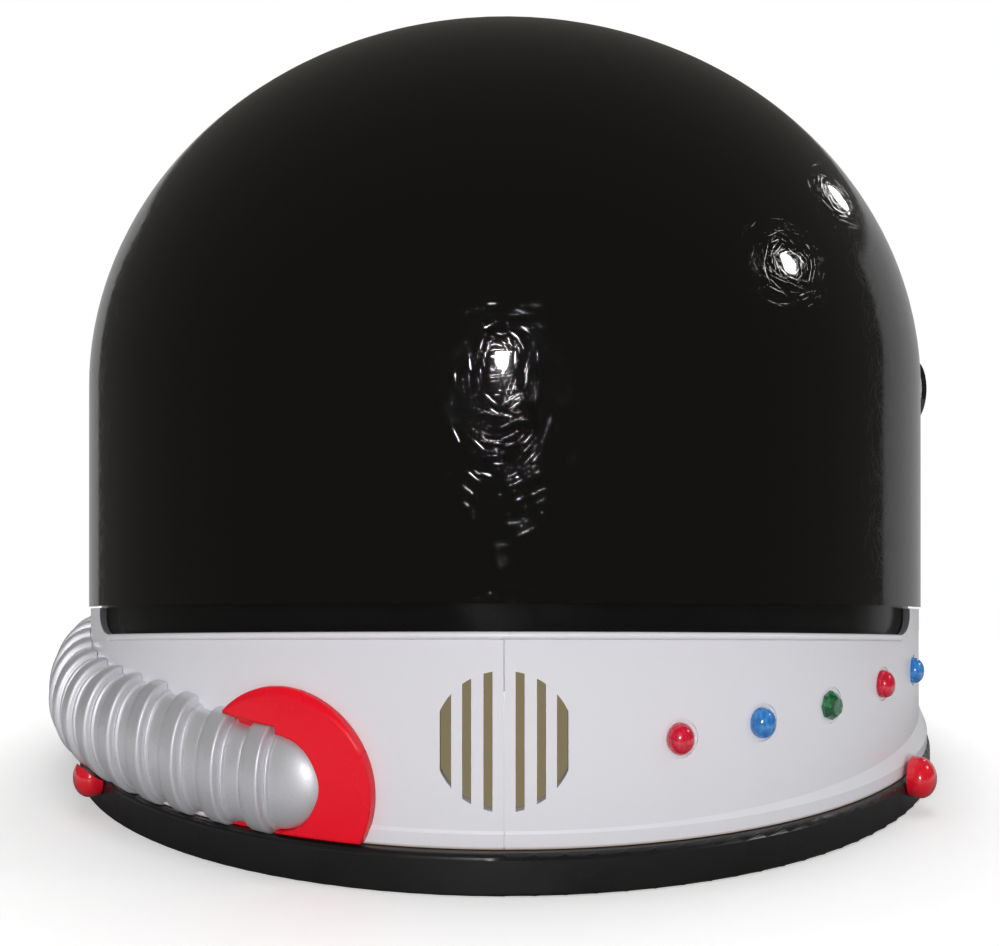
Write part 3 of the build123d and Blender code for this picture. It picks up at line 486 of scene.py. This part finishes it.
def long_cap(silver):
    """The hose's front cap, drawn out a little along the collar."""
    piece = copied("hose_front_cap", "long_cap")
    turn(HOSE_END_ANGLE)
    bpy.ops.transform.resize(value=(CAP_STRETCH, 1, 1), center_override=(0, -HOSE_BACK_R, RING_Z))
    turn(-HOSE_END_ANGLE)
    return done(piece, silver, "hose_front_cap", 40)


def modified(piece, kind, **settings):
    """Adds a modifier with its settings and applies it."""
    modifier = piece.modifiers.new(kind.lower(), kind)
    for name, value in settings.items():
        setattr(modifier, name, value)
    bpy.ops.object.modifier_apply(modifier=modifier.name)


def puffed(piece):
    """Blows the cloth up from inside, and holds each point near where it started."""
    before = [vertex.co.copy() for vertex in piece.data.vertices]
    cloth = piece.modifiers.new("puff", "CLOTH")
    cloth.settings.use_pressure = True
    cloth.settings.uniform_pressure_force = PAD_PRESSURE
    cloth.settings.effector_weights.gravity = 0
    for step in range(1, PAD_STEPS + 1):
        bpy.context.scene.frame_set(step)
    bpy.ops.object.modifier_apply(modifier="puff")
    bpy.context.scene.frame_set(1)
    for vertex, old in zip(piece.data.vertices, before):
        move = vertex.co - old
        if move.length > PAD_PUFF:
            vertex.co = old + move.normalized() * PAD_PUFF


def soft_pad(node_name, cover):
    """Padded cover over a solid pad: its mesh made smaller, remeshed, blown up a little and smoothed."""
    piece = copied(node_name, node_name + "_cover")
    bpy.ops.object.mode_set(mode="OBJECT")
    modified(piece, "DISPLACE", strength=-PAD_SHRINK, mid_level=0)
    modified(piece, "REMESH", mode="VOXEL", voxel_size=PAD_VOXEL)
    puffed(piece)
    modified(piece, "SUBSURF", levels=1, render_levels=1)
    bpy.ops.object.shade_smooth()
    hang(piece, cover, node_name)


# The stage

def camera():
    data = bpy.data.cameras.new("camera")
    data.sensor_width = SENSOR
    data.lens = LENS
    holder = bpy.data.objects.new("camera", data)
    bpy.context.collection.objects.link(holder)
    holder.location = CAMERA_PLACE
    holder.rotation_euler = (radians(90), 0, radians(CAMERA_TURN))
    bpy.context.scene.camera = holder


def lamp(name, place_at, size, power, aim=(0, 0, 0.1), seen_in_gloss=True, tall=1.0):
    data = bpy.data.lights.new(name, "AREA")
    data.shape = "ELLIPSE"
    data.size = size
    data.size_y = size * tall
    data.energy = power
    holder = bpy.data.objects.new(name, data)
    bpy.context.collection.objects.link(holder)
    holder.location = place_at
    holder.rotation_euler = (Vector(aim) - Vector(place_at)).to_track_quat("-Z", "Y").to_euler()
    holder.visible_glossy = seen_in_gloss


def lamps():
    """A small frontal lamp, two small windows and large soft fills."""
    lamp("front_lamp", (-0.012, -1.526, 0.291), 0.075, 5.0, (0, -0.137, 0.115), tall=0.45)
    lamp("side_window", (1.294, -0.251, 0.80), 0.12, 1.5)
    lamp("far_window", (1.029, 0.673, 0.863), 0.10, 0.6)
    lamp("front_fill", (0, -1.6, 0.6), 1.0, 10, seen_in_gloss=False)
    lamp("left_fill", (-1.3, -0.9, 0.9), 1.2, 1.8, seen_in_gloss=False)
    lamp("right_fill", (1.3, -0.9, 0.9), 1.2, 1.5, seen_in_gloss=False)
    lamp("top_fill", (0, 0.1, 1.7), 1.4, 12, seen_in_gloss=False)
    lamp("rear_fill", (0, 1.5, 0.9), 1.2, 10, seen_in_gloss=False)


def room():
    """White backdrop behind the helmet, grey in its gloss, and a dim room in front of it."""
    world = bpy.data.worlds.new("room")
    bpy.context.scene.world = world
    world.use_nodes = True
    direction = node(world, "ShaderNodeTexCoord").outputs["Generated"]
    height = node(world, "ShaderNodeSeparateXYZ", Vector=direction).outputs["Z"]
    towards_backdrop = (sin(radians(BACKDROP_TURN)), cos(radians(BACKDROP_TURN)), 0)
    across = combined(world, "VectorMath", "DOT_PRODUCT", direction, towards_backdrop)
    behind = spread(world, across, 0, 1, *BACKDROP_SIDE, "SMOOTHSTEP")
    below_top = spread(world, height, 0, 1, *BACKDROP_TOP, "SMOOTHSTEP")
    backdrop = combined(world, "Math", "MULTIPLY", behind, below_top)
    rays = node(world, "ShaderNodeLightPath").outputs
    seen = combined(world, "Math", "MAXIMUM", rays["Is Camera Ray"], rays["Is Transmission Ray"])
    around = blend_colours(world, backdrop, (0.095, 0.092, 0.085), (0.42, 0.42, 0.42))
    background = world.node_tree.nodes["Background"]
    put(world, background.inputs["Color"], blend_colours(world, seen, around, (1, 1, 1)))


def floor():
    """Round pale table top with painted shade: tan inside the neck opening, and darker close to the helmet
    to all rays but the camera's, so that it throws less light up there.
    """
    bpy.ops.mesh.primitive_cylinder_add(vertices=128, radius=TABLE_R, depth=TABLE_THICKNESS,
                                        location=(0, 0, -TABLE_THICKNESS / 2))
    table = bpy.context.object
    table.name = "table_top"
    bpy.ops.object.transform_apply(location=True)
    pale = finish("pale_table", (0.86, 0.86, 0.86), 0.55)
    from_axis = combined(pale, "VectorMath", "LENGTH", place(pale))
    # painted shade: inside the neck opening the table turns tan, both in its colour and in the glow the
    # camera sees
    outside_painted_shade = spread(pale, from_axis, 0, 1, COLLAR_R - NECK_SHADE_FADE, COLLAR_R)
    mottled = blend_colours(pale, noise(pale, 8.0), (0.84, 0.84, 0.84), (0.88, 0.88, 0.88))
    # painted shade: close to the helmet the table is darker to all but camera rays, standing in for contact
    # shadow
    away = spread(pale, from_axis, 0, 1, NEAR_R, BOUNCE_R)
    painted_near_shade = blend_colours(pale, away, (0.20, 0.20, 0.20), (0.75, 0.75, 0.75))
    seen = node(pale, "ShaderNodeLightPath").outputs["Is Camera Ray"]
    around = blend_colours(pale, seen, painted_near_shade, mottled)
    feed(pale, "Base Color", blend_colours(pale, outside_painted_shade, (0.38, 0.32, 0.19), around))
    glow = spread(pale, from_axis, 0.35, 0.8, NEAR_R, GLOW_R)
    feed(pale, "Emission Strength", combined(pale, "Math", "MULTIPLY", seen, glow))
    feed(pale, "Emission Color", blend_colours(pale, outside_painted_shade, (0.60, 0.50, 0.29), (1, 1, 1)))
    table.data.materials.append(pale)
    bpy.ops.object.select_all(action="DESELECT")


bpy.context.scene.view_settings.view_transform = "Standard"
camera()
lamps()
room()
floor()
finishes = all_finishes()
dress_nodes(finishes)
paint = finishes["shell_left"]
ribbed_hose(finishes["hose"])
collar_lip(paint)
seam_filler(paint, SEAM_LOW_Z, SEAM_STEP_Z, SEAM_FLUSH_DEPTH)
seam_filler(paint, SEAM_STEP_Z, SEAM_TOP_Z, SEAM_SUNK_DEPTH)
long_cap(finishes["hose"])
for pad in ("crown_pad", "rear_pad", "side_pad_left", "side_pad_right"):
    soft_pad(pad, finishes[pad])
